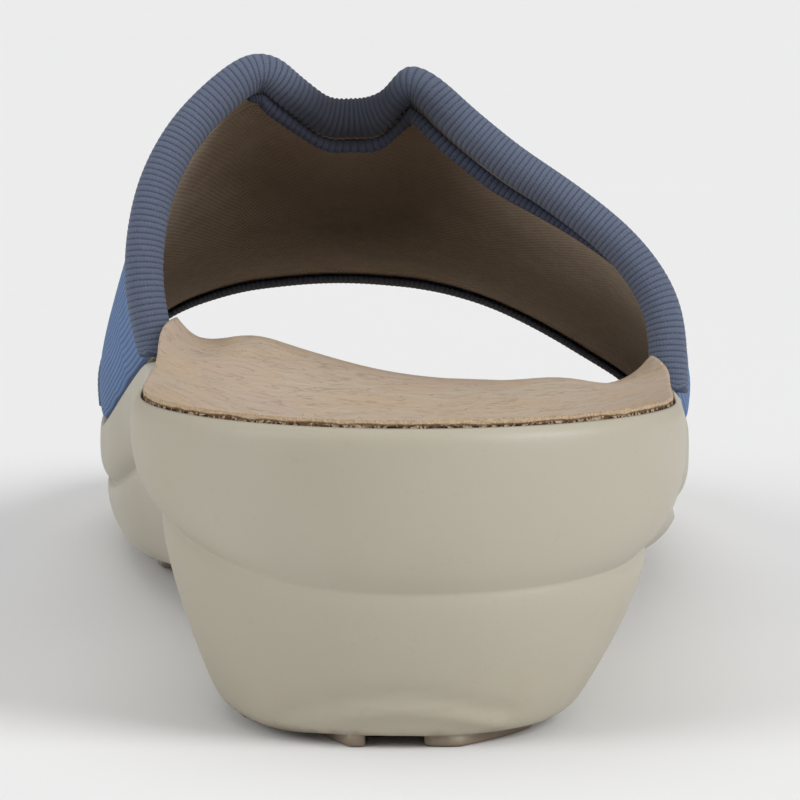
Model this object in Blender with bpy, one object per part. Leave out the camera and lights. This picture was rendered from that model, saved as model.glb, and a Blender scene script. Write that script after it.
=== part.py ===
import math

import bmesh
import bpy
from mathutils import Vector

# Slide sandal for the right foot: a moulded wedge sole, a leather footbed and one wide knitted strap
# whose two free edges are bound. Heel at the back (-Y), toes forward (+Y), outer side of the foot at +X.

mm = 0.001

# Sole
sole_length = 250.0 * mm
ball_width = 92.0 * mm
heel_width = 74.0 * mm
heel_height = 42.0 * mm
forefoot_height = 19.5 * mm
toe_spring = 6.0 * mm
toe_thinning = 9.0 * mm
waist_arch = 3.5 * mm
heel_radius = 36.0 * mm
toe_radius = 64.0 * mm
toe_drift = 8.0 * mm
heel_medial_taper = 12.5 * mm
heel_lateral_taper = 16.0 * mm
heel_back_taper = 7.0 * mm
forefoot_medial_taper = 7.0 * mm
forefoot_lateral_taper = 13.0 * mm
rim_rounding = 1.5 * mm
rim_drop = 3.0 * mm
rim_under_strap = 0.8 * mm
cup_depth = 7.0 * mm

# Lugs under the sole
lug_height = 1.6 * mm
lug_length = 14.0 * mm
lug_border = 1.5 * mm
lug_root = 1.2 * mm
channel_width = 7.5 * mm
channel_shift = -2.5 * mm

# Footbed
insole_thickness = 2.0 * mm
insole_border = 1.8 * mm
insole_stand = 1.0 * mm
insole_slack = 0.7 * mm
medial_tip_rise = 6.5 * mm
lateral_tip_rise = 5.5 * mm
tip_lead = 6.0 * mm
tip_reach_behind = 11.0 * mm
tip_reach_ahead = 22.0 * mm
tuck_lead = 3.0 * mm
tuck_fade = 9.0 * mm
footbed_curl = 3
tip_curl = 12
arch_edge_fade = 6
arch_rise = 6.0 * mm
arch_offset = 23.0 * mm
arch_place = 103.0 * mm
arch_breadth = 17.0 * mm
arch_reach = 26.0 * mm

# Strap
strap_wall = 3.0 * mm
strap_inset = 1.9 * mm
strap_rear = 95.0 * mm
strap_front = 192.0 * mm
rear_reach = 15.0 * mm
front_reach = 10.0 * mm
instep_rise = 44.0 * mm
toe_rise = 23.0 * mm
side_swell = 3.0 * mm
top_fullness = 1.5 * mm

# Bindings
rear_roll = 5.6 * mm
rear_roll_depth = 2.4 * mm
rear_roll_crown = 2.8 * mm
front_roll = 5.0 * mm
front_roll_depth = 3.0 * mm
front_roll_crown = 2.5 * mm
lip_share = 0.6
leg_share = 0.6

# Clearance between pieces that lie against each other
fit_gap = 0.3 * mm
strap_seat_gap = 0.5 * mm

# Points closer than this are one point
merge_reach = 0.01 * mm

# Line that the inner rings of sole and footbed close on: shares of heel_radius and toe_radius from the ends
spine_heel_share = 0.85
spine_toe_share = 0.65

# Rings between the line (0) and the edge (1)
footbed_shares = (1.0, 0.95, 0.88, 0.78, 0.64, 0.44, 0.22, 0.0)
bottom_shares = (0.0, 0.4, 0.75)

# How finely the forms are divided
ring_count = 72
strap_steps_per_row = 3
crown_steps = 6
strap_rows = (0.0, 0.05, 0.14, 0.27, 0.41, 0.56, 0.71, 0.83, 0.94, 1.0)

# Sole along its length. along: share of the length. centre: share of toe_drift. swell: 0 heel width,
# 1 ball width. rise: 0 forefoot height, 1 heel height. step: height of the side's step line, as a share of
# the side. arch and spring: shares of waist_arch and toe_spring. cup: share of cup_depth. fore: 0 where the
# side has the heel's form, 1 where it has the forefoot's.
sole_table = {
    "columns": ("along", "centre", "swell", "rise_medial", "rise_lateral", "step_medial", "step_lateral",
                "arch", "spring", "cup", "fore"),
    "rows": (
        (0.00, -0.06, 0.00, 1.00, 1.00, 0.47, 0.47, 0.00, 0.00, 1.00, 0.00),
        (0.08, -0.06, 0.00, 1.00, 0.98, 0.59, 0.50, 0.00, 0.00, 1.00, 0.00),
        (0.16, -0.05, 0.00, 0.99, 0.94, 0.67, 0.55, 0.00, 0.00, 1.00, 0.00),
        (0.26, 0.07, 0.04, 0.97, 0.85, 0.67, 0.54, 0.00, 0.00, 0.56, 0.10),
        (0.34, 0.13, 0.12, 0.92, 0.72, 0.65, 0.52, 0.45, 0.00, 0.12, 0.40),
        (0.42, 0.11, 0.30, 0.79, 0.55, 0.61, 0.48, 1.00, 0.00, 0.02, 0.75),
        (0.50, 0.02, 0.62, 0.50, 0.32, 0.56, 0.44, 0.75, 0.00, 0.12, 0.95),
        (0.58, -0.10, 0.90, 0.20, 0.12, 0.54, 0.40, 0.12, 0.00, 0.24, 1.00),
        (0.66, -0.22, 1.00, 0.04, 0.02, 0.53, 0.38, 0.00, 0.00, 0.30, 1.00),
        (0.74, -0.34, 0.98, 0.00, 0.00, 0.52, 0.39, 0.00, 0.00, 0.30, 1.00),
        (0.82, -0.46, 0.94, 0.00, 0.00, 0.50, 0.42, 0.00, 0.12, 0.28, 1.00),
        (0.91, -0.68, 0.90, 0.00, 0.00, 0.47, 0.45, 0.00, 0.48, 0.22, 1.00),
        (1.00, -1.00, 0.88, 0.00, 0.00, 0.46, 0.46, 0.00, 1.00, 0.16, 1.00),
    ),
}

# Rows of lugs. along: start of the row, as a share of the length. medial and lateral: share of the sole's
# flat width that the row's two lugs take on either side of the middle channel.
lug_table = (
    {"along": 0.034, "medial": 0.50, "lateral": 1.00},
    {"along": 0.112, "medial": 1.00, "lateral": 1.00},
    {"along": 0.190, "medial": 1.00, "lateral": 1.00},
    {"along": 0.268, "medial": 1.00, "lateral": 1.00},
    {"along": 0.584, "medial": 1.00, "lateral": 1.00},
    {"along": 0.662, "medial": 1.00, "lateral": 1.00},
    {"along": 0.740, "medial": 1.00, "lateral": 1.00},
    {"along": 0.818, "medial": 1.00, "lateral": 1.00},
    {"along": 0.896, "medial": 0.90, "lateral": 0.90},
)

# Side of the sole from the floor up. part: 0 floor to step line, 1 step line to rim. share: height within
# that part. heel and fore: how far the side is drawn in, as shares of the heel's and forefoot's taper.
side_table = (
    {"part": 0, "share": 0.00, "heel": 1.00, "fore": 1.00},
    {"part": 0, "share": 0.05, "heel": 0.89, "fore": 0.76},
    {"part": 0, "share": 0.20, "heel": 0.76, "fore": 0.50},
    {"part": 0, "share": 0.48, "heel": 0.54, "fore": 0.26},
    {"part": 0, "share": 0.78, "heel": 0.37, "fore": 0.16},
    {"part": 0, "share": 0.93, "heel": 0.33, "fore": 0.18},
    {"part": 1, "share": 0.00, "heel": 0.37, "fore": 0.29},
    {"part": 1, "share": 0.04, "heel": 0.31, "fore": 0.24},
    {"part": 1, "share": 0.13, "heel": 0.18, "fore": 0.11},
    {"part": 1, "share": 0.33, "heel": 0.05, "fore": 0.02},
    {"part": 1, "share": 0.60, "heel": 0.00, "fore": 0.00},
)

# Rounded rim. inset and drop: shares of rim_rounding inward from the outline and of rim_drop down from the
# rim, or of rim_under_strap for both beside the strap.
rim_table = (
    {"inset": 0.10, "drop": 0.70},
    {"inset": 0.38, "drop": 0.28},
    {"inset": 1.00, "drop": 0.00},
)

# Strap round the foot, from its inner base over the instep to its outer base, at its rear and front edges.
# across: share of the way between the two bases. high: share of instep_rise or toe_rise. set: how far the
# edge is set toward the middle of the strap, as a share of rear_reach or front_reach. swell: how much of
# side_swell the strap bulges outward halfway along.
strap_table = {
    "columns": ("round", "rear_across", "rear_high", "rear_set", "front_across", "front_high", "front_set",
                "swell"),
    "rows": (
        (0.0, 0.000, 0.00, 0.00, 0.000, 0.00, 0.00, 0.0),
        (1.0, -0.023, 0.240, 0.15, 0.000, 0.260, 0.1, 0),
        (2.0, -0.013, 0.450, 0.32, 0.028, 0.500, 0.22, 0),
        (3.0, 0.023, 0.643, 0.52, 0.070, 0.670, 0.35, 0),
        (4.0, 0.093, 0.834, 0.74, 0.132, 0.810, 0.45, 0),
        (5.0, 0.203, 1.003, 0.93, 0.230, 0.930, 0.55, 0),
        (6.0, 0.277, 0.955, 1.08, 0.320, 0.980, 0.6, 0),
        (7.0, 0.347, 0.911, 1.2, 0.390, 1.000, 0.62, 0),
        (8.0, 0.409, 0.910, 1.22, 0.455, 1.000, 0.65, 0),
        (9.0, 0.468, 0.955, 1.13, 0.515, 0.985, 0.685, 0),
        (10.0, 0.521, 0.990, 1.0, 0.570, 0.962, 0.72, 0),
        (11.0, 0.601, 0.876, 0.9, 0.635, 0.912, 0.76, 0.08),
        (12.0, 0.692, 0.754, 0.82, 0.710, 0.820, 0.8, 0.2),
        (13.0, 0.810, 0.622, 0.72, 0.793, 0.670, 0.86, 0.45),
        (14.0, 0.916, 0.472, 0.6, 0.876, 0.485, 0.95, 0.8),
        (15.0, 0.985, 0.278, 0.42, 0.963, 0.265, 1.05, 0.9),
        (16.0, 1.000, 0.00, 0.20, 1.000, 0.00, 1.15, 0.0),
    ),
}


def smooth_read(table, column, at):
    # Cubic through the rows, with each row's slope taken from its neighbours
    place = table["columns"].index(column)
    rows = table["rows"]
    last = len(rows) - 1
    at = min(max(at, rows[0][0]), rows[last][0])
    low = 0
    while low < last - 1 and at > rows[low + 1][0]:
        low += 1

    def slope(index):
        before = rows[max(index - 1, 0)]
        after = rows[min(index + 1, last)]
        return (after[place] - before[place]) / (after[0] - before[0])

    start = rows[low]
    end = rows[low + 1]
    width = end[0] - start[0]
    share = (at - start[0]) / width
    square = share * share
    cube = square * share
    return (
        (2 * cube - 3 * square + 1) * start[place]
        + (cube - 2 * square + share) * width * slope(low)
        + (3 * square - 2 * cube) * end[place]
        + (cube - square) * width * slope(low + 1)
    )


def soft_step(value, low, high):
    share = min(max((value - low) / (high - low), 0.0), 1.0)
    return share * share * (3 - 2 * share)


def mix(first, second, share):
    return first + (second - first) * share


def of_sole(column, y):
    return smooth_read(sole_table, column, y / sole_length)


def end_rounding(y):
    heel_share = min(max(y / heel_radius, 0.0), 1.0)
    toe_share = min(max((sole_length - y) / toe_radius, 0.0), 1.0)
    return math.sqrt(1 - (1 - heel_share) ** 2) * math.sqrt(1 - (1 - toe_share) ** 2)


def centre_line(y):
    return toe_drift * of_sole("centre", y)


def half_width(y):
    return mix(heel_width, ball_width, of_sole("swell", y)) / 2 * end_rounding(y)


def side_name(column, side):
    return column + ("_lateral" if side > 0 else "_medial")


def bottom_height(y):
    return lug_height + waist_arch * of_sole("arch", y) + toe_spring * of_sole("spring", y)


def rim_height(y, side):
    rise = of_sole(side_name("rise", side), y)
    spring = (toe_spring - toe_thinning) * of_sole("spring", y)
    return mix(forefoot_height, heel_height, rise) + spring


def strap_base_rear(side):
    row = strap_table["rows"][-1 if side > 0 else 0]
    return strap_rear + rear_reach * row[strap_table["columns"].index("rear_set")]


def strap_base_front(side):
    row = strap_table["rows"][-1 if side > 0 else 0]
    return strap_front - front_reach * row[strap_table["columns"].index("front_set")]


def insole_inset(y, side):
    # The footbed's edge is tucked inside the strap, and further in beside the two rolled edges
    rear = strap_base_rear(side)
    front = strap_base_front(side)
    tucked = strap_inset + strap_wall / 2 + insole_slack
    by_rear_roll = strap_inset + rear_roll / 2 + insole_slack
    by_front_roll = strap_inset + front_roll / 2 + insole_slack
    behind = soft_step(y, rear - tuck_lead - tuck_fade, rear - tuck_lead)
    ahead = soft_step(-y, -front - tuck_lead - tuck_fade, -front - tuck_lead)
    near_rear = soft_step(-y, -rear - tuck_lead - tuck_fade, -rear - tuck_lead)
    near_front = soft_step(y, front - tuck_lead - tuck_fade, front - tuck_lead)
    level = tucked + (by_rear_roll - tucked) * near_rear + (by_front_roll - tucked) * near_front
    return mix(insole_border, level, behind * ahead)


def insole_tip_height(y, side):
    rise = lateral_tip_rise if side > 0 else medial_tip_rise
    tip = strap_base_rear(side) - tip_lead
    reach = tip_reach_behind if y < tip else tip_reach_ahead
    return rise * math.exp(-(((y - tip) / reach) ** 2))


def seat_height(y):
    level = (rim_height(y, -1) + rim_height(y, 1)) / 2
    return level - cup_depth * of_sole("cup", y)


def footbed_height(station, share, x, y):
    # Top face of the footbed: flat along the middle, curled up to its edge, with the arch support inside
    curl = share ** footbed_curl
    level = mix(seat_height(y), station["edge_height"], curl) + station["tip"] * share ** tip_curl
    over = ((x + arch_offset) / arch_breadth) ** 2 + ((y - arch_place) / arch_reach) ** 2
    return level + arch_rise * math.exp(-over) * (1 - share ** arch_edge_fade)


def make_stations():
    # Points round the outline, from the back of the heel along the outer side to the toe and back
    points = []
    for index in range(ring_count):
        turn = 2 * math.pi * index / ring_count
        y = sole_length * (1 - math.cos(turn)) / 2
        side = 1 if index <= ring_count // 2 else -1
        x = centre_line(y) + side * half_width(y)
        points.append(Vector((x, y)))
    stations = []
    for index, point in enumerate(points):
        after = points[(index + 1) % ring_count]
        before = points[index - 1]
        run = (after - before).normalized()
        y = point.y
        side = 1 if index <= ring_count // 2 else -1
        stations.append({
            "point": point,
            "outward": Vector((run.y, -run.x)),
            "y": y,
            "side": side,
            "bottom": bottom_height(y),
            "rim": rim_height(y, side),
            "step": of_sole(side_name("step", side), y),
            "fore": of_sole("fore", y),
            "insole_inset": insole_inset(y, side),
            "edge_height": rim_height(y, side) + insole_stand,
            "tip": insole_tip_height(y, side),
        })
    return stations


def drawn_in(station, inset):
    return station["point"] - station["outward"] * inset


def tapers(lateral_share):
    heel = mix(heel_medial_taper, heel_lateral_taper, lateral_share)
    forefoot = mix(forefoot_medial_taper, forefoot_lateral_taper, lateral_share)
    return heel, forefoot


def side_inset(station, row):
    back_share = station["outward"].y ** 2
    heel_side, forefoot = tapers((1 + station["outward"].x) / 2)
    heel_taper = mix(heel_side, heel_back_taper, back_share)
    return mix(heel_taper * row["heel"], forefoot * row["fore"], station["fore"])


def by_strap(station):
    return soft_step(station["insole_inset"], insole_border, strap_inset + strap_wall / 2)


def spine_point(station):
    # Line inside the outline that the inner rings close on
    start = heel_radius * spine_heel_share
    end = sole_length - toe_radius * spine_toe_share
    y = mix(start, end, station["y"] / sole_length)
    return Vector((centre_line(y), y))


def footbed_ring(stations, share, drop):
    ring = []
    for station in stations:
        edge = drawn_in(station, station["insole_inset"])
        plan = mix(spine_point(station), edge, share)
        z = footbed_height(station, share, plan.x, plan.y) - drop
        ring.append(Vector((plan.x, plan.y, z)))
    return ring


def side_ring(stations, row):
    ring = []
    for station in stations:
        plan = drawn_in(station, side_inset(station, row))
        step = mix(station["bottom"], station["rim"], station["step"])
        if row["part"] == 0:
            z = mix(station["bottom"], step, row["share"])
        else:
            z = mix(step, station["rim"], row["share"])
        ring.append(Vector((plan.x, plan.y, z)))
    return ring


def rim_ring(stations, row):
    ring = []
    for station in stations:
        rounding = mix(rim_rounding, rim_under_strap, by_strap(station))
        drop = mix(rim_drop, rim_under_strap, by_strap(station))
        plan = drawn_in(station, rounding * row["inset"])
        ring.append(Vector((plan.x, plan.y, station["rim"] - drop * row["drop"])))
    return ring


def bottom_ring(stations, share):
    ring = []
    for station in stations:
        edge = drawn_in(station, side_inset(station, side_table[0]))
        plan = mix(spine_point(station), edge, share)
        ring.append(Vector((plan.x, plan.y, bottom_height(plan.y))))
    return ring


def skin_rings(rings, outward_bands=0):
    # Closed surface through rings that start and end on the spine. Faces are split along the same diagonal
    # where bands run outward as where they run inward, so that two faces that lie together match.
    mesh = bmesh.new()
    loops = [[mesh.verts.new(point) for point in ring] for ring in rings]
    for band, (lower, upper) in enumerate(zip(loops, loops[1:])):
        for index in range(ring_count):
            after = (index + 1) % ring_count
            if band < outward_bands:
                mesh.faces.new((lower[index], lower[after], upper[index]))
                mesh.faces.new((lower[after], upper[after], upper[index]))
            else:
                mesh.faces.new((lower[index], lower[after], upper[after]))
                mesh.faces.new((lower[index], upper[after], upper[index]))
    bmesh.ops.remove_doubles(mesh, verts=mesh.verts, dist=merge_reach)
    bmesh.ops.recalc_face_normals(mesh, faces=mesh.faces)
    return mesh


def make_material(name, colour, roughness):
    material = bpy.data.materials.new(name)
    material.use_nodes = True
    shader = material.node_tree.nodes["Principled BSDF"]
    shader.inputs["Base Color"].default_value = (*colour, 1.0)
    shader.inputs["Roughness"].default_value = roughness
    shader.inputs["Metallic"].default_value = 0.0
    return material


def make_object(name, mesh, material):
    data = bpy.data.meshes.new(name)
    mesh.to_mesh(data)
    mesh.free()
    data.shade_smooth()
    data.set_sharp_from_angle(angle=math.radians(40))
    item = bpy.data.objects.new(name, data)
    bpy.context.scene.collection.objects.link(item)
    if material:
        data.materials.append(material)
    return item


def lug_outer_edge(y, side):
    heel, forefoot = tapers(1 if side > 0 else 0)
    taper = mix(heel, forefoot, of_sole("fore", y))
    return centre_line(y) + side * (half_width(y) - taper - lug_border)


def add_lug(mesh, start, end, side, reach):
    # A block between the middle channel and the edge of the sole's flat underside
    inner = channel_shift + side * channel_width / 2
    middle = (start + end) / 2
    corners = [(inner, start), (inner, end)]
    for y in (end, middle, start):
        corners.append((mix(inner, lug_outer_edge(y, side), reach), y))
    level_start = bottom_height(start)
    level_end = bottom_height(end)
    verts = []
    for x, y in corners:
        level = mix(level_start, level_end, (y - start) / (end - start))
        verts.append(mesh.verts.new((x, y, level - lug_height)))
    face = mesh.faces.new(verts)
    raised = bmesh.ops.extrude_face_region(mesh, geom=[face])
    top = [item for item in raised["geom"] if isinstance(item, bmesh.types.BMVert)]
    bmesh.ops.translate(mesh, vec=(0, 0, lug_height + lug_root), verts=top)


def make_lugs():
    mesh = bmesh.new()
    for row in lug_table:
        start = row["along"] * sole_length
        add_lug(mesh, start, start + lug_length, -1, row["medial"])
        add_lug(mesh, start, start + lug_length, 1, row["lateral"])
    bmesh.ops.recalc_face_normals(mesh, faces=mesh.faces)
    lugs = make_object("lug_blocks", mesh, None)
    lugs.hide_render = True
    lugs.display_type = "WIRE"
    return lugs


def make_sole(stations, material):
    drop = insole_thickness + fit_gap
    shelf = []
    seat_edge = []
    for station in stations:
        outer = drawn_in(station, station["insole_inset"] - fit_gap)
        inner = drawn_in(station, station["insole_inset"] - fit_gap / 4)
        shelf.append(Vector((outer.x, outer.y, station["rim"])))
        level = station["edge_height"] + station["tip"] - drop
        seat_edge.append(Vector((inner.x, inner.y, level)))
    rings = [bottom_ring(stations, share) for share in bottom_shares]
    rings += [side_ring(stations, row) for row in side_table]
    rings += [rim_ring(stations, row) for row in rim_table]
    rings += [shelf, seat_edge]
    rings += [footbed_ring(stations, share, drop) for share in footbed_shares[1:]]
    sole = make_object("sole", skin_rings(rings), material)
    union = sole.modifiers.new("lugs", "BOOLEAN")
    union.operation = "UNION"
    union.object = make_lugs()
    return sole


def make_insole(stations, material):
    rings = [footbed_ring(stations, share, insole_thickness) for share in reversed(footbed_shares)]
    rings += [footbed_ring(stations, share, 0.0) for share in footbed_shares]
    return make_object("insole", skin_rings(rings, len(footbed_shares) - 1), material)


def strap_point(round_share, along):
    # Middle of the strap's wall, round the foot and from the rear edge (0) to the front edge (1)
    def read(column):
        return smooth_read(strap_table, column, round_share)

    rear_y = strap_rear + rear_reach * read("rear_set")
    front_y = strap_front - front_reach * read("front_set")
    y = mix(rear_y, front_y, along)
    across = mix(read("rear_across"), read("front_across"), along)
    high = mix(read("rear_high"), read("front_high"), along)
    middle = 4 * along * (1 - along)
    medial = centre_line(y) - half_width(y) + strap_inset
    lateral = centre_line(y) + half_width(y) - strap_inset
    base = mix(rim_height(y, -1), rim_height(y, 1), min(max(across, 0.0), 1.0))
    x = mix(medial, lateral, across) + side_swell * read("swell") * middle
    z = base + strap_seat_gap + mix(instep_rise, toe_rise, along) * high + top_fullness * high * middle
    return Vector((x, y, z))


round_end = strap_table["rows"][-1][0]
small_step = 0.02


def strap_frame(round_share, along):
    # Point on the strap's middle surface with its outward normal and its run round the foot
    low = max(round_share - small_step, 0.0)
    high = min(round_share + small_step, round_end)
    run = (strap_point(high, along) - strap_point(low, along)).normalized()
    back = max(along - small_step, 0.0)
    ahead = min(along + small_step, 1.0)
    forward = strap_point(round_share, ahead) - strap_point(round_share, back)
    outward = forward.cross(run).normalized()
    return strap_point(round_share, along), outward * -1, run


def strap_rounds():
    count = int(round_end) * strap_steps_per_row
    return [round_end * index / count for index in range(count + 1)]


def rest_on_rim(point, side):
    return Vector((point.x, point.y, rim_height(point.y, side) + strap_seat_gap))


def make_upper(material):
    mesh = bmesh.new()
    rounds = strap_rounds()
    last_row = len(strap_rows) - 1
    faces = {}
    for face_side in (-1, 1):
        grid = []
        for round_share in rounds:
            line = []
            for along in strap_rows:
                point, outward, run = strap_frame(round_share, along)
                point = point + outward * (face_side * strap_wall / 2)
                if round_share == 0.0:
                    point = rest_on_rim(point, -1)
                if round_share == round_end:
                    point = rest_on_rim(point, 1)
                line.append(mesh.verts.new(point))
            grid.append(line)
        faces[face_side] = grid
    for face_side in (-1, 1):
        grid = faces[face_side]
        for first, second in zip(grid, grid[1:]):
            for index in range(last_row):
                mesh.faces.new((first[index], first[index + 1], second[index + 1], second[index]))
    inner = faces[-1]
    outer = faces[1]
    for index in range(len(rounds) - 1):
        for edge in (0, last_row):
            mesh.faces.new((inner[index][edge], inner[index + 1][edge], outer[index + 1][edge],
                            outer[index][edge]))
    for index in range(last_row):
        for end in (0, len(rounds) - 1):
            mesh.faces.new((inner[end][index], inner[end][index + 1], outer[end][index + 1],
                            outer[end][index]))
    bmesh.ops.recalc_face_normals(mesh, faces=mesh.faces)
    return make_object("upper", mesh, material)


def binding_profile(thickness, depth, crown):
    # Section of a band folded round the strap's edge: (away from the strap, outward) pairs
    half = thickness / 2
    slot = strap_wall / 2 + fit_gap
    lip = mix(slot, half, lip_share)
    leg = depth * leg_share
    profile = [(-depth, slot), (-depth, lip), (-leg, half)]
    for index in range(crown_steps + 1):
        turn = math.pi / 2 - math.pi * index / crown_steps
        profile.append((crown * math.cos(turn), half * math.sin(turn)))
    profile += [(-leg, -half), (-depth, -lip), (-depth, -slot)]
    profile += [(fit_gap, -slot), (fit_gap, slot)]
    return profile


def make_binding(name, along, thickness, depth, crown, material):
    mesh = bmesh.new()
    rounds = strap_rounds()
    profile = binding_profile(thickness, depth, crown)
    sections = []
    for round_share in rounds:
        point, outward, run = strap_frame(round_share, along)
        away = outward.cross(run) * (-1 if along < 0.5 else 1)
        strap_run = (strap_point(round_share, 1.0) - strap_point(round_share, 0.0)).length
        section = []
        for off, out in profile:
            if off < 0:
                inside, facing, _ = strap_frame(round_share, abs(along + off / strap_run))
                corner = inside + facing * out
            else:
                corner = point + away * off + outward * out
            if round_share == 0.0:
                corner = rest_on_rim(corner, -1)
            if round_share == round_end:
                corner = rest_on_rim(corner, 1)
            section.append(mesh.verts.new(corner))
        sections.append(section)
    count = len(profile)
    for first, second in zip(sections, sections[1:]):
        for index in range(count):
            after = (index + 1) % count
            mesh.faces.new((first[index], first[after], second[after], second[index]))
    for end in (sections[0], sections[-1]):
        mesh.faces.new(end)
    bmesh.ops.recalc_face_normals(mesh, faces=mesh.faces)
    return make_object(name, mesh, material)


def set_origin_on_floor():
    # Origin in the middle of the part's box, on the floor
    graph = bpy.context.evaluated_depsgraph_get()
    corners = []
    for item in bpy.context.scene.objects:
        if item.hide_render:
            continue
        shape = item.evaluated_get(graph).data
        corners += [vertex.co.copy() for vertex in shape.vertices]
    lows = [min(corner[axis] for corner in corners) for axis in range(3)]
    highs = [max(corner[axis] for corner in corners) for axis in range(3)]
    for item in bpy.context.scene.objects:
        for vertex in item.data.vertices:
            vertex.co.x -= (lows[0] + highs[0]) / 2
            vertex.co.y -= (lows[1] + highs[1]) / 2
            vertex.co.z -= lows[2]


def main():
    for item in list(bpy.data.objects):
        bpy.data.objects.remove(item, do_unlink=True)
    sole_material = make_material("stone_foam", (0.42, 0.39, 0.31), 0.55)
    insole_material = make_material("tan_leather", (0.55, 0.41, 0.29), 0.5)
    knit_material = make_material("blue_knit", (0.11, 0.20, 0.42), 0.9)
    rib_material = make_material("slate_rib", (0.09, 0.12, 0.20), 0.85)
    stations = make_stations()
    make_sole(stations, sole_material)
    make_insole(stations, insole_material)
    make_upper(knit_material)
    make_binding("rear_binding", 0.0, rear_roll, rear_roll_depth, rear_roll_crown, rib_material)
    make_binding("front_binding", 1.0, front_roll, front_roll_depth, front_roll_crown, rib_material)
    set_origin_on_floor()


main()
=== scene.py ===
import math
import bmesh
import bpy
from mathutils import Matrix, Vector, noise


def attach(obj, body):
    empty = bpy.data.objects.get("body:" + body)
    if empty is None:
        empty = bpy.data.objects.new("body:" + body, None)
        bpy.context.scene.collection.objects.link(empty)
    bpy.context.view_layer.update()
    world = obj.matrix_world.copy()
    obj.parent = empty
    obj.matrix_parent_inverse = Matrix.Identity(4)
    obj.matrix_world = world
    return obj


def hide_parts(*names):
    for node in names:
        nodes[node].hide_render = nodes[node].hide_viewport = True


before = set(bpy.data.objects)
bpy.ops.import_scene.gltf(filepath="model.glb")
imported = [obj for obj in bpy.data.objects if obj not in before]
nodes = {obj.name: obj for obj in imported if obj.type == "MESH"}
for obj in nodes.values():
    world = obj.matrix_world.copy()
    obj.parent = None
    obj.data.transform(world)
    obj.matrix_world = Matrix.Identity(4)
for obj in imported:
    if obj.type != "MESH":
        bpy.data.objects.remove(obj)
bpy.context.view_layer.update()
mm = 0.001


# small helpers for node trees

def put(tree, kind, sockets=None, **settings):
    node = tree.nodes.new(kind)
    for key, value in settings.items():
        setattr(node, key, value)
    for key, value in (sockets or {}).items():
        if isinstance(value, bpy.types.NodeSocket):
            tree.links.new(value, node.inputs[key])
        else:
            node.inputs[key].default_value = value
    return node


def calc(tree, operation, first, second=0.0):
    return put(tree, "ShaderNodeMath", {0: first, 1: second}, operation=operation).outputs[0]


def blendColour(tree, share, first, second, mode="MIX"):
    node = put(tree, "ShaderNodeMix", {0: share, 6: first, 7: second}, data_type="RGBA", blend_type=mode)
    return node.outputs[2]


def spread(tree, value, low, high, toLow=0.0, toHigh=1.0):
    sockets = {"Value": value, "From Min": low, "From Max": high, "To Min": toLow, "To Max": toHigh}
    return put(tree, "ShaderNodeMapRange", sockets, interpolation_type="SMOOTHSTEP").outputs["Result"]


def line(tree, value, at, half):
    # a soft line where the value is near one number
    return spread(tree, calc(tree, "ABSOLUTE", calc(tree, "SUBTRACT", value, at)), half * 0.4, half, 1.0, 0.0)


def place(tree, vector, scale=(1, 1, 1), turn=(0, 0, 0)):
    return put(tree, "ShaderNodeMapping", {"Vector": vector, "Scale": scale, "Rotation": turn}).outputs[0]


def cloud(tree, vector, scale, detail=3.0, distortion=0.0):
    sockets = {"Vector": vector, "Scale": scale, "Detail": detail, "Distortion": distortion}
    return put(tree, "ShaderNodeTexNoise", sockets).outputs[0]


def waver(tree, vector, scale, amount, detail=3.0):
    # noise that strays to both sides of nought
    return calc(tree, "MULTIPLY", calc(tree, "SUBTRACT", cloud(tree, vector, scale, detail), 0.5), amount)


def tint(tree, mask, share, base, colour):
    # a colour laid over the base where the mask is
    return blendColour(tree, calc(tree, "MULTIPLY", mask, share), base, colour)


def mapSpot(tree):
    # the two numbers of a piece's own map
    own = put(tree, "ShaderNodeUVMap", uv_map="wrap").outputs[0]
    return put(tree, "ShaderNodeSeparateXYZ", {0: own}).outputs


def rgb(red, green, blue):
    # screen colours to the linear ones that the sockets take
    return tuple((c / 255 / 12.92) if c < 10.3 else ((c / 255 + 0.055) / 1.055) ** 2.4
                 for c in (red, green, blue)) + (1.0,)


def newGroup(name, inputs, outputs):
    group = bpy.data.node_groups.new(name, "ShaderNodeTree")
    for label, kind, value in inputs:
        socket = group.interface.new_socket(label, in_out="INPUT", socket_type="NodeSocket" + kind)
        if value is not None:
            socket.default_value = value
    for label, kind in outputs:
        group.interface.new_socket(label, in_out="OUTPUT", socket_type="NodeSocket" + kind)
    return group, put(group, "NodeGroupInput").outputs, put(group, "NodeGroupOutput").inputs


def useGroup(tree, group, sockets):
    return put(tree, "ShaderNodeGroup", sockets, node_tree=group).outputs


def newMaterial(name, roughness, **fixed):
    material = bpy.data.materials.new(name)
    material.use_nodes = True
    tree = material.node_tree
    tree.nodes.clear()
    shader = put(tree, "ShaderNodeBsdfPrincipled", {"Roughness": roughness})
    for label, value in fixed.items():
        shader.inputs[label.replace("_", " ")].default_value = value
    put(tree, "ShaderNodeOutputMaterial", {"Surface": shader.outputs[0]})
    return material, tree, shader


def bumped(tree, shader, *reliefs):
    # bump layers, the coarse one first, as (height, distance, strength)
    below = None
    for height, distance, strength in reliefs:
        sockets = {"Height": height, "Distance": distance, "Strength": strength}
        if below:
            sockets["Normal"] = below
        below = put(tree, "ShaderNodeBump", sockets).outputs[0]
    tree.links.new(below, shader.inputs["Normal"])


# shared effects

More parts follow.
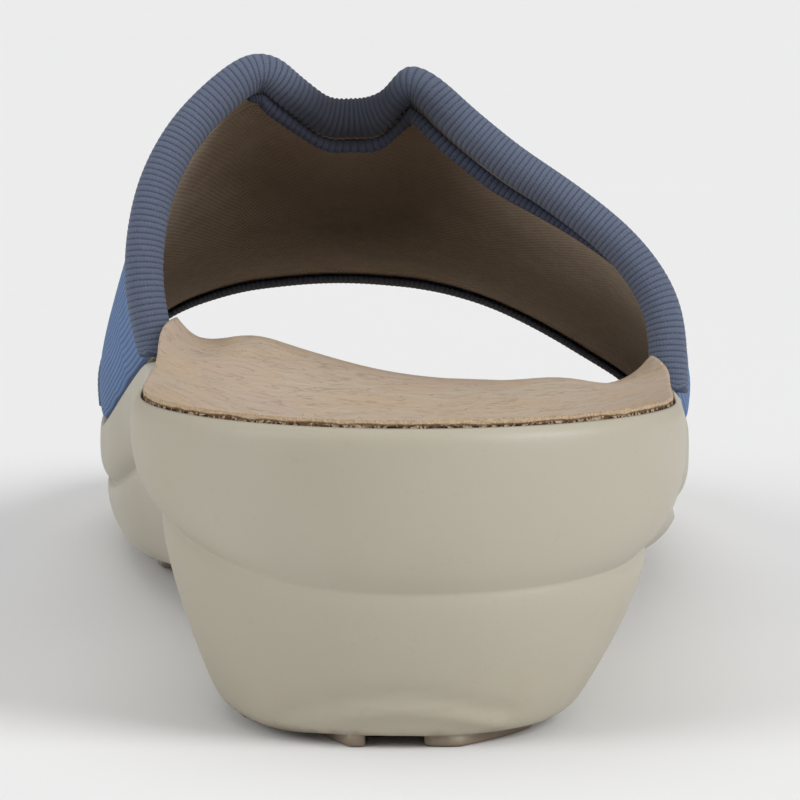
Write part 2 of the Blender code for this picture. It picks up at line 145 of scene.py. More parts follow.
def makeGrainGroup():
    # pores and small pebbles, in bumps a metre
    group, given, out = newGroup("fineGrain",
                                 [("Vector", "Vector", None), ("Scale", "Float", 1500.0),
                                  ("Pebbles", "Float", 0.5)],
                                 [("Height", "Float"), ("Pores", "Float")])
    cells = put(group, "ShaderNodeTexVoronoi", {"Vector": given["Vector"], "Scale": given["Scale"]},
                feature="SMOOTH_F1")
    fine = cloud(group, given["Vector"], given["Scale"], 4.0)
    pebble = calc(group, "MULTIPLY", cells.outputs["Distance"], given["Pebbles"])
    group.links.new(calc(group, "ADD", fine, pebble), out["Height"])
    group.links.new(spread(group, fine, 0.62, 0.72), out["Pores"])
    return group


def makeMottleGroup():
    # large soft changes of shade, with a second finer layer
    group, given, out = newGroup("softMottle", [("Vector", "Vector", None), ("Scale", "Float", 30.0)],
                                 [("Shade", "Float"), ("Specks", "Float")])
    wide = cloud(group, given["Vector"], given["Scale"], 5.0)
    small = cloud(group, given["Vector"], calc(group, "MULTIPLY", given["Scale"], 30.0))
    group.links.new(spread(group, wide, 0.3, 0.7), out["Shade"])
    group.links.new(spread(group, small, 0.64, 0.72), out["Specks"])
    return group


def makeRibGroup():
    # ribs count along Across, stitches along Down; each stitch leans a little
    group, given, out = newGroup("ribKnit", [("Across", "Float", 0.0), ("Down", "Float", 0.0),
                                             ("Slant", "Float", 0.6)],
                                 [("Height", "Float"), ("Valley", "Float"), ("Stitch", "Float")])
    centred = calc(group, "ABSOLUTE", calc(group, "SUBTRACT", calc(group, "FRACT", given["Across"]), 0.5))
    crown = calc(group, "COSINE", calc(group, "MULTIPLY", centred, math.pi))
    lean = calc(group, "MULTIPLY", centred, given["Slant"])
    loop = calc(group, "MULTIPLY", calc(group, "PINGPONG", calc(group, "ADD", given["Down"], lean), 0.5), 2.0)
    height = calc(group, "MULTIPLY", crown, calc(group, "ADD", calc(group, "MULTIPLY", loop, 0.3), 0.7))
    group.links.new(height, out["Height"])
    group.links.new(spread(group, centred, 0.26, 0.46), out["Valley"])
    group.links.new(loop, out["Stitch"])
    return group


def makeFloorShadeGroup():
    # painted shade that darkens towards the floor, with a ragged upper edge
    group, given, out = newGroup("paintedFloorShade", [("Vector", "Vector", None), ("Low", "Float", 0.0),
                                                 ("High", "Float", 0.004)], [("Mask", "Float")])
    height = put(group, "ShaderNodeSeparateXYZ", {0: given["Vector"]}).outputs["Z"]
    edge = calc(group, "ADD", height, waver(group, given["Vector"], 220.0, 0.003, 5.0))
    group.links.new(spread(group, edge, given["Low"], given["High"], 1.0, 0.0), out["Mask"])
    return group


def makeShadePatchGroup():
    # painted shade in a soft round patch; Inner and Outer are shares of Reach
    group, given, out = newGroup("paintedShadePatch", [("Vector", "Vector", None), ("Middle", "Vector", None),
                                                 ("Inner", "Float", 0.4), ("Outer", "Float", 1.0),
                                                 ("Reach", "Vector", None)], [("Mask", "Float")])
    apart = put(group, "ShaderNodeVectorMath", {0: given["Vector"], 1: given["Middle"]}, operation="SUBTRACT")
    scaled = put(group, "ShaderNodeVectorMath", {0: apart.outputs[0], 1: given["Reach"]}, operation="DIVIDE")
    away = put(group, "ShaderNodeVectorMath", {0: scaled.outputs[0]}, operation="LENGTH").outputs["Value"]
    uneven = calc(group, "ADD", away, waver(group, given["Vector"], 90.0, 0.3))
    group.links.new(spread(group, uneven, given["Inner"], given["Outer"], 1.0, 0.0), out["Mask"])
    return group


grainGroup = makeGrainGroup()
mottleGroup = makeMottleGroup()
ribGroup = makeRibGroup()
floorShadeGroup = makeFloorShadeGroup()
shadePatchGroup = makeShadePatchGroup()
print("shared effects ready")


# finishes

soleLook = {"stone": rgb(171, 164, 146), "paler": rgb(178, 172, 156), "floorShade": rgb(112, 92, 74),
            "fleck": rgb(158, 150, 132), "roughness": 0.5, "grainScale": 2600.0, "grainDepth": 0.00004,
            "waveDepth": 0.0003}
footbedLook = {"tan": rgb(185, 168, 149), "deep": rgb(146, 124, 104), "warm": rgb(187, 166, 142),
               "rosy": rgb(184, 164, 149), "roughness": 0.6, "grainScale": 1700.0, "grainDepth": 0.00008,
               "puckerDepth": 0.0009, "wrinkleShade": 0.36, "wrinkleDepth": 0.0003}
# the backing's three colours, then the leather over it; heights are shares of the edge
edgeLook = {"cream": rgb(186, 166, 140), "brown": rgb(112, 86, 64), "black": rgb(36, 28, 25),
            "leather": rgb(192, 168, 138), "leatherFrom": 0.64, "leatherFull": 0.74, "lineAt": 0.66,
            "lineHalf": 0.09, "fibreScale": 2600.0, "fibreDepth": 0.0003}
# stitch: mm from loop to loop; slant: how far a stitch leans; drift: how far the ribs wander; valley: painted
# shade between the ribs
knitLook = {"ridge": rgb(98, 128, 172), "valley": rgb(62, 84, 124), "thread": rgb(132, 156, 192),
            "roughness": 0.84, "sheen": 0.08, "drift": 0.12, "stitch": 0.62, "slant": 0.8, "depth": 0.0002}
# row: mm between rows of holes; dashes: holes in a rib's width; hemEnd and sewn: mm from the rear edge
liningLook = {"beige": rgb(204, 191, 175), "hole": rgb(88, 74, 62), "hem": rgb(218, 204, 184),
              "roughness": 0.9, "row": 0.78, "dashes": 1.1, "depth": 0.00012,
              "hemEnd": 8.0, "sewn": (6.6, 8.0), "sewnHalf": 0.35,
              # soil keys: a darker patch painted under the notch, as painted shade
              "paintedShade": rgb(98, 82, 66), "paintedShadeShare": 0.85, "paintedShadeMiddle": (-0.003, 0.014, 0.070),
              "paintedShadeReach": (0.034, 0.08, 0.032)}
rollLook = {"ridge": rgb(98, 107, 127), "valley": rgb(68, 76, 95), "thread": rgb(128, 136, 153),
            "roughness": 0.85, "sheen": 0.06, "drift": 0.0, "stitch": 0.5, "slant": 0.5, "depth": 0.00008,
            # soil keys: a near-black patch painted at the notch, as painted shade
            "paintedShade": rgb(40, 41, 50), "paintedShadeShare": 0.88, "paintedShadeMiddle": (-0.0045, -0.013, 0.0735),
            "paintedShadeReach": (0.017, 0.03, 0.0085)}
# the fold that lies inside is the same band, in darker colours that are painted shade
lipLook = dict(rollLook, ridge=rgb(70, 77, 97), valley=rgb(42, 46, 60), thread=rgb(98, 106, 124))


def makeSoleFoam(look):
    material, tree, shader = newMaterial("stoneFoam", look["roughness"], Coat_Roughness=0.4,
                                         Specular_IOR_Level=0.4)
    where = put(tree, "ShaderNodeTexCoord").outputs["Object"]
    mottle = useGroup(tree, mottleGroup, {"Vector": where, "Scale": 22.0})
    grain = useGroup(tree, grainGroup, {"Vector": where, "Scale": look["grainScale"], "Pebbles": 0.35})
    floorShade = useGroup(tree, floorShadeGroup, {"Vector": where, "Low": 0.0004, "High": 0.0026})
    base = blendColour(tree, mottle["Shade"], look["stone"], look["paler"])
    flecked = tint(tree, mottle["Specks"], 0.16, base, look["fleck"])
    # painted shade: browner near the floor and under the lugs
    floorShaded = tint(tree, floorShade["Mask"], 0.75, flecked, look["floorShade"])
    tree.links.new(floorShaded, shader.inputs["Base Color"])
    rough = look["roughness"]
    tree.links.new(spread(tree, mottle["Shade"], 0.0, 1.0, rough + 0.05, rough - 0.05), shader.inputs["Roughness"])
    tree.links.new(spread(tree, floorShade["Mask"], 0.0, 1.0, 0.1, 0.0), shader.inputs["Coat Weight"])
    bumped(tree, shader, (cloud(tree, where, 180.0), look["waveDepth"], 0.12),
           (grain["Height"], look["grainDepth"], 0.6))
    return material


def makeFootbedLeather(look):
    material, tree, shader = newMaterial("tanLeather", look["roughness"], Specular_IOR_Level=0.35)
    where = put(tree, "ShaderNodeTexCoord").outputs["Object"]
    mottle = useGroup(tree, mottleGroup, {"Vector": where, "Scale": 36.0})
    grain = useGroup(tree, grainGroup, {"Vector": where, "Scale": look["grainScale"], "Pebbles": 0.8})
    # short fine wrinkles across the foot, in two slants, that come and go in patches
    patches = spread(tree, cloud(tree, where, 60.0), 0.45, 0.6)
    short = spread(tree, cloud(tree, where, 300.0), 0.42, 0.56)
    first = cloud(tree, place(tree, where, (230.0, 560.0, 500.0), (0.0, 0.0, 0.7)), 1.0, 1.5, 0.5)
    second = cloud(tree, place(tree, where, (210.0, 500.0, 420.0), (0.0, 0.0, -0.35)), 1.0, 1.5, 0.5)
    crease = calc(tree, "MULTIPLY", line(tree, first, 0.5, 0.03), patches)
    small = calc(tree, "MULTIPLY", line(tree, second, 0.5, 0.028), calc(tree, "SUBTRACT", 1.0, patches))
    wrinkles = calc(tree, "MULTIPLY", calc(tree, "MAXIMUM", crease, small), short)
    base = blendColour(tree, spread(tree, cloud(tree, where, 110.0), 0.4, 0.62), look["tan"], look["warm"])
    base = tint(tree, spread(tree, cloud(tree, where, 75.0), 0.5, 0.65), 0.6, base, look["rosy"])
    base = tint(tree, mottle["Shade"], 0.14, base, look["deep"])
    lined = tint(tree, wrinkles, look["wrinkleShade"], base, look["deep"])
    pored = tint(tree, grain["Pores"], 0.3, lined, look["deep"])
    tree.links.new(pored, shader.inputs["Base Color"])
    rough = look["roughness"]
    tree.links.new(spread(tree, mottle["Shade"], 0.0, 1.0, rough - 0.07, rough + 0.08), shader.inputs["Roughness"])
    puckers = cloud(tree, place(tree, where, (160.0, 330.0, 300.0), (0.0, 0.0, 0.45)), 1.0, 4.0, 1.2)
    bumped(tree, shader, (puckers, look["puckerDepth"], 0.5),
           (calc(tree, "SUBTRACT", 1.0, wrinkles), look["wrinkleDepth"], 0.6),
           (grain["Height"], look["grainDepth"], 0.7))
    return material


def makeRawEdge(look):
    material, tree, shader = newMaterial("rawFootbedEdge", 0.9, Specular_IOR_Level=0.2)
    where = put(tree, "ShaderNodeTexCoord").outputs["Object"]
    fibres = put(tree, "ShaderNodeTexVoronoi", {"Vector": where, "Scale": look["fibreScale"]})
    pick = put(tree, "ShaderNodeSeparateColor", {0: fibres.outputs["Color"]}).outputs[0]
    patch = cloud(tree, where, 260.0)
    # the map's height runs from the backing (0) to the leather (1)
    spot = mapSpot(tree)
    high = calc(tree, "ADD", spot["Y"], calc(tree, "MULTIPLY", calc(tree, "SUBTRACT", patch, 0.5), 0.4))
    leather = spread(tree, high, look["leatherFrom"], look["leatherFull"])
    backing = blendColour(tree, spread(tree, pick, 0.25, 0.5), look["cream"], look["brown"])
    dark = calc(tree, "MULTIPLY", spread(tree, pick, 0.45, 0.6), spread(tree, patch, 0.38, 0.55, 0.3, 1.0))
    backing = blendColour(tree, dark, backing, look["black"])
    colour = blendColour(tree, leather, backing, look["leather"])
    between = line(tree, high, look["lineAt"], look["lineHalf"])
    colour = tint(tree, between, 0.75, colour, look["brown"])
    colour = tint(tree, spread(tree, pick, 0.5, 0.9), 0.2, colour, look["brown"])
    tree.links.new(colour, shader.inputs["Base Color"])
    bumped(tree, shader, (calc(tree, "ADD", cloud(tree, where, 900.0, 6.0), fibres.outputs["Distance"]),
                          look["fibreDepth"], 0.8))
    return material


def knitMaterial(name, look):
    # the piece's own map counts ribs one way and has mm the other
    material, tree, shader = newMaterial(name, look["roughness"], Sheen_Weight=look["sheen"],
                                         Sheen_Roughness=0.5, Specular_IOR_Level=0.2)
    where = put(tree, "ShaderNodeTexCoord").outputs["Object"]
    spot = mapSpot(tree)
    drift = waver(tree, where, 120.0, look["drift"])
    down = calc(tree, "ADD", calc(tree, "DIVIDE", spot["Y"], look["stitch"]), drift)
    ribs = useGroup(tree, ribGroup, {"Across": calc(tree, "ADD", spot["X"], drift), "Down": down,
                                     "Slant": look["slant"]})
    mottle = useGroup(tree, mottleGroup, {"Vector": where, "Scale": 60.0})
    fuzz = cloud(tree, where, 3600.0, 4.0)
    # painted shade: darker colour in the valleys between ribs and between stitch loops
    colour = blendColour(tree, ribs["Valley"], look["ridge"], look["valley"])
    colour = tint(tree, calc(tree, "SUBTRACT", 1.0, ribs["Stitch"]), 0.3, colour, look["valley"])
    colour = tint(tree, mottle["Shade"], 0.15, colour, look["valley"])
    colour = tint(tree, spread(tree, fuzz, 0.5, 0.75), 0.3, colour, look["thread"])
    # painted shade: a dark round patch at the notch, on the roll and on its lip
    if "paintedShade" in look:
        paintedShade = useGroup(tree, shadePatchGroup, {"Vector": where, "Middle": look["paintedShadeMiddle"],
                                          "Reach": look["paintedShadeReach"], "Inner": 0.3, "Outer": 1.1})
        colour = tint(tree, paintedShade["Mask"], look["paintedShadeShare"], colour, look["paintedShade"])
    tree.links.new(colour, shader.inputs["Base Color"])
    relief = calc(tree, "ADD", ribs["Height"], calc(tree, "MULTIPLY", fuzz, 0.35))
    bumped(tree, shader, (relief, look["depth"], 0.85))
    return material


def makeLiningMesh(look):
    # rows of small staggered holes, a paler hem with two sewn lines beside the rolled edge, and painted shade in a
    # patch under the notch
    material, tree, shader = newMaterial("beigeMeshLining", look["roughness"], Sheen_Weight=0.05,
                                         Specular_IOR_Level=0.15)
    where = put(tree, "ShaderNodeTexCoord").outputs["Object"]
    spot = mapSpot(tree)
    wobble = waver(tree, where, 150.0, 0.5)
    row = calc(tree, "ADD", calc(tree, "DIVIDE", spot["Y"], look["row"]), wobble)
    stagger = calc(tree, "MULTIPLY", calc(tree, "FLOOR", row), 0.5)
    dash = calc(tree, "FRACT", calc(tree, "ADD", calc(tree, "MULTIPLY", spot["X"], look["dashes"]), stagger))
    inRow = line(tree, calc(tree, "FRACT", row), 0.5, 0.42)
    hole = calc(tree, "MULTIPLY", calc(tree, "MULTIPLY", inRow, line(tree, dash, 0.5, 0.44)),
                spread(tree, cloud(tree, where, 700.0), 0.3, 0.6, 0.5, 1.0))
    mottle = useGroup(tree, mottleGroup, {"Vector": where, "Scale": 50.0})
    hem = spread(tree, spot["Y"], look["hemEnd"] - 0.2, look["hemEnd"] + 0.2, 1.0, 0.0)
    firstSewn, secondSewn = (line(tree, spot["Y"], at, look["sewnHalf"]) for at in look["sewn"])
    sewn = calc(tree, "MAXIMUM", firstSewn, secondSewn)
    cloth = tint(tree, hem, 0.8, look["beige"], look["hem"])
    cloth = tint(tree, mottle["Shade"], 0.18, cloth, look["hole"])
    openHole = calc(tree, "MULTIPLY", hole, calc(tree, "SUBTRACT", 1.0, calc(tree, "MULTIPLY", hem, 0.7)))
    cloth = tint(tree, openHole, 0.6, cloth, look["hole"])
    cloth = tint(tree, sewn, 0.35, cloth, look["hole"])
    # painted shade: the lining darkens in a round patch under the notch
    paintedShade = useGroup(tree, shadePatchGroup, {"Vector": where, "Middle": look["paintedShadeMiddle"],
                                      "Reach": look["paintedShadeReach"], "Inner": 0.35, "Outer": 1.15})
    cloth = tint(tree, paintedShade["Mask"], look["paintedShadeShare"], cloth, look["paintedShade"])
    tree.links.new(cloth, shader.inputs["Base Color"])
    relief = calc(tree, "SUBTRACT", 1.0, calc(tree, "ADD", openHole, sewn))
    bumped(tree, shader, (relief, look["depth"], 0.8))
    return material


stoneFoam = makeSoleFoam(soleLook)
tanLeather = makeFootbedLeather(footbedLook)
rawEdge = makeRawEdge(edgeLook)
outerKnit = knitMaterial("blueRibKnit", knitLook)
rollRib = knitMaterial("slateRollRib", rollLook)
lipRib = knitMaterial("lipRibPaintedShade", lipLook)
liningMesh = makeLiningMesh(liningLook)
print("finishes ready")


# shared steps for the pieces

def copyOfNode(nodeName):
    bm = bmesh.new()
    bm.from_mesh(nodes[nodeName].data)
    bmesh.ops.remove_doubles(bm, verts=bm.verts, dist=1e-6)
    bmesh.ops.join_triangles(bm, faces=bm.faces, angle_face_threshold=0.7, angle_shape_threshold=0.9)
    for face in bm.faces:
        face.material_index = 0
    bm.normal_update()
    return bm


def creaseSharpEdges(bm, degrees, amount):
    creases = bm.edges.layers.float.new("crease_edge")
    for edge in bm.edges:
        if len(edge.link_faces) == 2 and edge.calc_face_angle(0.0) > math.radians(degrees):
            edge[creases] = amount


def subdivided(bm, levels):
    mesh = bpy.data.meshes.new("denser")
    bm.to_mesh(mesh)
    bm.free()
    rough = bpy.data.objects.new("denser", mesh)
    bpy.context.scene.collection.objects.link(rough)
    smoother = rough.modifiers.new("smoother", "SUBSURF")
    smoother.levels = smoother.render_levels = levels
    smooth = bpy.data.meshes.new_from_object(rough.evaluated_get(bpy.context.evaluated_depsgraph_get()))
    result = bmesh.new()
    result.from_mesh(smooth)
    bpy.data.objects.remove(rough)
    for used in (mesh, smooth):
        bpy.data.meshes.remove(used)
    result.normal_update()
    return result


def makePiece(bm, name, finishes, slotName, *replaced):
    mesh = bpy.data.meshes.new(name)
    bm.to_mesh(mesh)
    bm.free()
    mesh.shade_smooth()
    for finish in finishes:
        mesh.materials.append(finish)
    piece = bpy.data.objects.new(name, mesh)
    bpy.context.scene.collection.objects.link(piece)
    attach(piece, "root")
    if replaced:
        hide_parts(*replaced)
    print(name, len(mesh.polygons), "faces")
    return piece


def wrapMap(bm, spotOf):
    # the piece's own map, from a point on it to (ribs round, mm along)
    layer = bm.loops.layers.uv.get("wrap") or bm.loops.layers.uv.new("wrap")
    for face in bm.faces:
        for loop in face.loops:
            loop[layer].uv = spotOf(loop.vert)


def awayFrom(point, path):
    # distance from a point to a bent line
    best = 1.0
    for start, end in zip(path, path[1:]):
        run = end - start
        share = min(1.0, max(0.0, (point - start).dot(run) / run.length_squared))
        best = min(best, (point - start - run * share).length)
    return best


def shift(bm, pulls):
    # gentle pulls of a whole stretch, as (move, reach, middle) in mm
    for move, reach, middle in pulls:
        centre = Vector(middle) * mm
        for vert in bm.verts:
            apart = vert.co - centre
            fall = math.exp(-sum((apart[i] / (reach[i] * mm)) ** 2 for i in range(3)))
            if fall > 0.01:
                vert.co += Vector(move) * mm * fall


def press(bm, folds, facing=None):
    # soft troughs, or ridges where the depth is below zero, pushed along the normals
    bm.normal_update()
    moves = {}
    for depth, width, points in folds:
        path = [Vector(p) * mm for p in points]
        reach = width * 3 * mm
        low = Vector(min(p[i] for p in path) - reach for i in range(3))
        high = Vector(max(p[i] for p in path) + reach for i in range(3))
        for vert in bm.verts:
            spot = vert.co
            if not all(low[i] < spot[i] < high[i] for i in range(3)):
                continue
            if facing and vert.normal.dot(Vector(facing)) < 0.1:
                continue
            fall = math.exp(-(awayFrom(spot, path) / (width * mm)) ** 2)
            moves[vert] = moves.get(vert, 0.0) + depth * mm * fall
    for vert, depth in moves.items():
        vert.co -= vert.normal * depth


def ringsFrom(bm, cap):
    # rings of points, step by step away from the cap
    rings, seen = [list(cap)], set(cap)
    while rings[-1]:
        ring = {edge.other_vert(vert) for vert in rings[-1] for edge in vert.link_edges} - seen
        seen |= ring
        rings.append(list(ring))
    return rings[:-1]


def middleOf(ring):
    return sum((vert.co for vert in ring), Vector()) / len(ring)


# sole

soleForm = {"crease": 0.85, "creaseOver": 38.0, "levels": 2,
            # depth, half width and points in mm: a hollow line and a raised one over the lugs
            "folds": [(0.45, 1.1, [(-14, -113, 4.6), (-7, -118, 6.4), (0.5, -119.8, 7.4), (7, -118.8, 6.4),
                                   (14, -115.5, 4.6)]),
                      (-0.5, 0.9, [(-6, -118, 4.4), (0.3, -119.5, 5.6), (7, -118.6, 4.7),
                                   (13, -115.3, 3.1)])],
            # move, reach and middle in mm: the medial corner of the heel sits lower
            "pulls": [((0, 0, -0.9), (7, 8, 2.5), (-15, -110, 3.2))]}


def makeSole(form):
    bm = copyOfNode("sole")
    creaseSharpEdges(bm, form["creaseOver"], form["crease"])
    bm = subdivided(bm, form["levels"])
    press(bm, form["folds"], (0, -1, 0))
    shift(bm, form["pulls"])
    for vert in bm.verts:
        vert.co.z = max(vert.co.z, 0.0)
    return makePiece(bm, "moulded_sole", [stoneFoam], "stone_foam", "sole")


makeSole(soleForm)


# footbed

footbedForm = {"crease": 0.6, "creaseOver": 40.0, "levels": 2, "edgeFacing": 0.3, "sideFacing": 0.4,
               "folds": [(0.5, 2.2, [(-30, -46, 41), (-25, -40, 40), (-20, -33, 39)]),
                         (0.35, 1.8, [(-33, -62, 41), (-26, -57, 38.5), (-20, -52, 37)]),
                         (0.3, 2.0, [(33, -40, 34), (29, -46, 33.5), (24, -50, 33)])],
               # move, reach and middle in mm: a dip and a hump beside each raised tip
               "pulls": [((0, 0, -1.1), (3.6, 7, 6), (-26.5, -35, 43)),
                         ((0, 0, 1.0), (5, 9, 6), (-19.5, -34, 42)),
                         ((0, 0, 0.8), (6, 8, 6), (23.5, -39, 37)),
                         ((0, 0, -0.5), (3.5, 7, 6), (31, -34, 36.7))]}


def makeFootbed(form):
    bm = copyOfNode("insole")
    creaseSharpEdges(bm, form["creaseOver"], form["crease"])
    layer = bm.verts.layers.float.new("layer")
    for face in bm.faces:
        if abs(face.normal.z) < form["sideFacing"]:
            middle = face.calc_center_median().z
            for vert in face.verts:
                vert[layer] = 1.0 if vert.co.z > middle else 0.0
    bm = subdivided(bm, form["levels"])
    press(bm, form["folds"], (0, 0, 1))
    shift(bm, form["pulls"])
    layer = bm.verts.layers.float.get("layer")
    wrapMap(bm, lambda vert: (0.0, vert[layer]))
    for face in bm.faces:
        if face.normal.z < form["edgeFacing"]:
            face.material_index = 1
    return makePiece(bm, "shaped_footbed", [tanLeather, rawEdge], "tan_leather", "insole")


makeFootbed(footbedForm)


# strap

ribPitch = 0.85  # mm, the same on the strap and on its rolled edges
# innerSide, baseFacing and baseTurn find the inner base, where the measuring round the strap starts
strapForm = {"levels": 2, "innerSide": -28.0, "baseFacing": -0.75, "baseTurn": 0.1, "axisX": 2.0,
             "axisHigh": 24.0, "lean": 1.15,
             # the folds of the lining under the notch, and of the knit over the two bases
             "folds": [(0.5, 1.5, [(-7, -8, 72), (-6, 2, 69), (-5, 14, 64)]),
                       (-0.4, 1.5, [(-3.5, -8, 72), (-2.5, 2, 69), (-1.5, 14, 64)]),
                       (0.5, 1.5, [(0.5, -8, 72), (1.5, 2, 69), (2.5, 16, 64)]),
                       (0.5, 4.0, [(43, -14, 42), (45, -2, 36), (46, 12, 31)]),
                       (0.4, 4.0, [(42, 14, 44), (45, 28, 36), (46, 40, 29)]),
                       (0.5, 4.0, [(-40, -18, 50), (-43, -6, 44), (-45, 10, 38)]),
                       (0.4, 4.0, [(-40, 26, 46), (-44, 38, 38), (-46, 50, 29)])]}

# move, reach and middle in mm: a flatter bottom and a steeper outer wall for the notch
notchPulls = [((0, 0, -0.8), (3.0, 9, 12), (-9.0, -14, 75)), ((0, 0, -1.0), (2.8, 9, 12), (-1.6, -15, 75)),
              ((-0.5, 0, 0.9), (3.2, 9, 12), (3.6, -16, 79)), ((0, 0, 0.4), (5.0, 9, 12), (-18.0, -17, 82))]


def makeStrap(form):
    bm = copyOfNode("upper")
    middle = Vector((form["axisX"], 0, form["axisHigh"])) * mm
    around = bm.verts.layers.float.new("around")
    along = bm.verts.layers.float.new("along")
    base = {vert for face in bm.faces for vert in face.verts
            if face.calc_center_median().x < form["innerSide"] * mm and face.normal.z < form["baseFacing"]
            and abs(face.normal.x) < form["baseTurn"]}
    length, before = 0.0, None
    for ring in ringsFrom(bm, base):
        centre = middleOf(ring)
        length += (centre - before).length if before else 0.0
        before = centre
        rear = min(vert.co.y for vert in ring)
        for vert in ring:
            vert[around] = length
            vert[along] = (vert.co.y - rear) * form["lean"]  # the strap slopes down to the front
    bm = subdivided(bm, form["levels"])
    press(bm, form["folds"])
    shift(bm, notchPulls)
    around = bm.verts.layers.float.get("around")
    along = bm.verts.layers.float.get("along")
    for face in bm.faces:
        outward = face.calc_center_median() - middle
        outward.y = 0.0
        face.material_index = 0 if face.normal.dot(outward) > 0 else 1
    wrapMap(bm, lambda vert: (vert[around] / mm / ribPitch, vert[along] / mm))
    return makePiece(bm, "knit_strap", [outerKnit, liningMesh], "blue_knit", "upper")


makeStrap(strapForm)


# rolled edges

# depths and sizes in mm; gather: first and last ring, of 48, and the extra depth of the ribs between them
bandRadius = 2.8
rearRollForm = {"levels": 2, "cutsAlong": 3, "ribDepth": 0.07, "wander": 0.35, "capReach": 8.0,
                "legLean": 1.2, "gather": (16, 28, 0.16)}
frontBandForm = {"levels": 2, "cutsAlong": 3, "ribDepth": 0.08, "wander": 0.3, "capReach": 8.0,
                 "legLean": 1.2, "gather": (0, 1, 0.0)}
lipForm = {"levels": 2, "cutsAlong": 3, "ribDepth": 0.06, "wander": 0.35, "rings": (14, 42), "radius": 1.15,
           "inward": 1.25, "forward": -0.7, "sides": 8, "taper": 4.0, "lastTaper": 22.0,
           "gather": (0, 30, 0.1)}


def measureRings(rings, along, around):
    # writes on each point its run along the band and its turn round it, and returns the band's frames
    centres = [middleOf(ring) for ring in rings]
    frames, length = [], 0.0
    for index, ring in enumerate(rings):
        centre = centres[index]
        length += (centre - centres[max(index - 1, 0)]).length
        tangent = (centres[min(index + 1, len(rings) - 1)] - centres[max(index - 1, 0)]).normalized()
        inward = Vector((strapForm["axisX"] * mm, centre.y, strapForm["axisHigh"] * mm)) - centre
        inward = (inward - tangent * inward.dot(tangent)).normalized()
        forward = tangent.cross(inward)
        forward *= 1 if forward.y > 0 else -1
        for vert in ring:
            reach = vert.co - centre
            vert[along] = length
            vert[around] = math.atan2(reach.dot(inward), -reach.dot(forward))
        frames.append((centre, tangent, inward, forward, length))
    return frames


def addRibs(bm, form, length):
    # ribs round a band, in true relief; its map counts the same ribs
    along = bm.verts.layers.float.get("along")
    around = bm.verts.layers.float.get("around")
    lengthwise = [edge for edge in bm.edges if abs(edge.verts[0][along] - edge.verts[1][along]) > 0.1 * mm]
    bmesh.ops.subdivide_edges(bm, edges=lengthwise, cuts=form["cutsAlong"], use_grid_fill=True)
    bm.normal_update()
    first, last, extra = form["gather"]
    gatherStart, gatherEnd = first / 48 * length, last / 48 * length

    def ribCount(run):
        drift = noise.noise(Vector((run / mm * 0.12, 3.0, 0.0))) * form["wander"]
        return run / mm / ribPitch + drift

    moves = []
    for vert in bm.verts:
        run = vert[along]
        wave = 0.5 - 0.5 * math.cos(ribCount(run) * 2 * math.pi)
        uneven = 0.75 + 0.5 * noise.noise(Vector((run / mm * 0.5, 0.0, 7.0)))
        gathered = max(0.0, 1 - abs(2 * (run - gatherStart) / (gatherEnd - gatherStart) - 1))
        depth = form["ribDepth"] * uneven + extra * gathered
        atEnd = max(0.0, min(1.0, run / (2 * mm), (length - run) / (2 * mm)))
        moves.append((vert, vert.normal * (depth * mm * (wave ** 0.6 - 0.6) * atEnd)))
    for vert, move in moves:
        vert.co += move
    wrapMap(bm, lambda vert: (ribCount(vert[along]), vert[around] * bandRadius))


def makeRolledEdge(name, nodeName, form):
    bm = copyOfNode(nodeName)
    along = bm.verts.layers.float.new("along")
    around = bm.verts.layers.float.new("around")
    low = min(face.calc_center_median().z for face in bm.faces if face.calc_center_median().x < 0)
    cap = {vert for face in bm.faces for vert in face.verts
           if face.calc_center_median().x < 0 and face.normal.z < strapForm["baseFacing"]
           and face.calc_center_median().z < low + form["capReach"] * mm}
    rings = ringsFrom(bm, cap)
    frames = measureRings(rings, along, around)
    print(nodeName, len(rings), "rings")
    # where the band's inner leg meets the lining
    inner = []
    for ring, (centre, _, inward, forward, _) in zip(rings, frames):
        leg = inward + forward * form["legLean"]
        inner.append(max((vert.co for vert in ring), key=lambda spot: (spot - centre).dot(leg)).copy())
    bm = subdivided(bm, form["levels"])
    shift(bm, notchPulls)
    addRibs(bm, form, frames[-1][4])
    return makePiece(bm, name, [rollRib], "slate_rib", nodeName), frames, inner


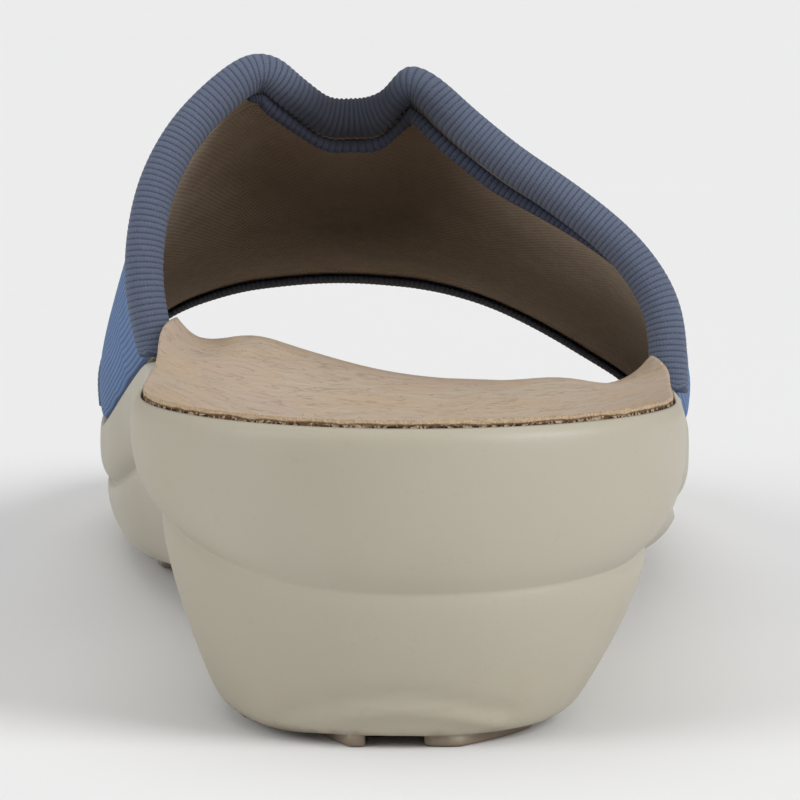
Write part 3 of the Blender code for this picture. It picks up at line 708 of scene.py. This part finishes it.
def makeInnerLip(frames, inner, form):
    # the thin second fold of the band that lies against the lining
    first, last = form["rings"]
    bm = bmesh.new()
    along = bm.verts.layers.float.new("along")
    around = bm.verts.layers.float.new("around")
    start = frames[first][4]
    total = frames[last][4] - start
    spots = []
    for index in range(first, last + 1):
        centre, tangent, inward, forward, run = frames[index]
        fade = min(1.0, (run - start + 0.4 * mm) / (form["taper"] * mm),
                   (start + total - run + 0.4 * mm) / (form["lastTaper"] * mm))
        radius = form["radius"] * mm * (0.25 + 0.75 * fade)
        spot = inner[index] + (inward * form["inward"] + forward * form["forward"]) * mm * fade
        turned = Matrix((inward * radius, forward * radius, tangent)).transposed().to_4x4()
        spots.append((Matrix.Translation(spot) @ turned, run - start))
    before = spots[0][0]
    ring = bmesh.ops.create_circle(bm, segments=form["sides"], radius=1.0, matrix=before)["verts"]
    edges = list(bm.edges)
    for matrix, run in spots:
        if run > 0:
            made = bmesh.ops.extrude_edge_only(bm, edges=edges)["geom"]
            ring = [item for item in made if isinstance(item, bmesh.types.BMVert)]
            edges = [item for item in made if isinstance(item, bmesh.types.BMEdge)]
            bmesh.ops.transform(bm, matrix=matrix @ before.inverted(), verts=ring)
            before = matrix
        middle = matrix.translation
        for vert in ring:
            vert[along] = run
            vert[around] = math.atan2((vert.co - middle).dot(matrix.col[0].xyz),
                                      (vert.co - middle).dot(matrix.col[1].xyz))
    bmesh.ops.holes_fill(bm, edges=[edge for edge in bm.edges if edge.is_boundary], sides=0)
    bmesh.ops.recalc_face_normals(bm, faces=bm.faces)
    bm = subdivided(bm, form["levels"])
    shift(bm, notchPulls)
    addRibs(bm, form, total)
    return makePiece(bm, "inner_lip", [lipRib], "slate_rib")


rearRoll, rollFrames, rollInner = makeRolledEdge("rear_roll", "rear_binding", rearRollForm)
makeRolledEdge("front_band", "front_binding", frontBandForm)
makeInnerLip(rollFrames, rollInner, lipForm)


# camera, light and floor, in metres

cameraView = {"place": (-0.0059, -0.7383, 0.126), "turn": 3.0, "right": 0.0628, "down": 0.1309, "lens": 223.0}
lightSetup = {"sky": 0.34,
              # where from, share of the light on the floor, softness in degrees
              "suns": {"key": ((1.0, -0.55, 0.7), 0.33, 35.0), "fill": ((-1.0, -0.45, 0.55), 0.16, 40.0),
                       "top": ((-0.1, 0.3, 1.0), 0.21, 55.0)}}


def makeCamera(view):
    turn = math.radians(view["turn"])
    ahead = Vector((-math.sin(turn), math.cos(turn), 0.0))
    right = Vector((math.cos(turn), math.sin(turn), 0.0))
    aim = ahead + right * view["right"] - Vector((0.0, 0.0, view["down"]))
    data = bpy.data.cameras.new("camera")
    data.lens = view["lens"]
    data.clip_start, data.clip_end = 0.01, 100.0
    camera = bpy.data.objects.new("camera", data)
    camera.location = view["place"]
    camera.rotation_euler = aim.to_track_quat("-Z", "Y").to_euler()
    bpy.context.scene.collection.objects.link(camera)
    bpy.context.scene.camera = camera


def makeSun(name, source, share, softness):
    direction = Vector(source).normalized()
    data = bpy.data.lights.new(name, "SUN")
    data.energy = share * math.pi / direction.z
    data.angle = math.radians(softness)
    sun = bpy.data.objects.new(name, data)
    sun.location = direction
    sun.rotation_euler = direction.to_track_quat("Z", "Y").to_euler()
    bpy.context.scene.collection.objects.link(sun)


def makeFloor():
    bm = bmesh.new()
    bmesh.ops.create_grid(bm, x_segments=4, y_segments=4, size=12.0)
    mesh = bpy.data.meshes.new("floor")
    bm.to_mesh(mesh)
    bm.free()
    material, tree, shader = newMaterial("paleFloor", 0.9, Specular_IOR_Level=0.1)
    where = put(tree, "ShaderNodeTexCoord").outputs["Object"]
    shade = blendColour(tree, cloud(tree, where, 4.0), rgb(232, 232, 233), rgb(235, 235, 235))
    tree.links.new(shade, shader.inputs["Base Color"])
    mesh.materials.append(material)
    floor = bpy.data.objects.new("floor", mesh)
    bpy.context.scene.collection.objects.link(floor)


def makeWorld(strength):
    world = bpy.data.worlds.new("studio")
    world.use_nodes = True
    world.node_tree.nodes["Background"].inputs["Color"].default_value = (1.0, 1.0, 1.0, 1.0)
    world.node_tree.nodes["Background"].inputs["Strength"].default_value = strength
    bpy.context.scene.world = world


makeCamera(cameraView)
makeFloor()
makeWorld(lightSetup["sky"])
for sunName, (source, share, softness) in lightSetup["suns"].items():
    makeSun(sunName, source, share, softness)
bpy.context.scene.view_settings.view_transform = "Standard"
print("stage ready")
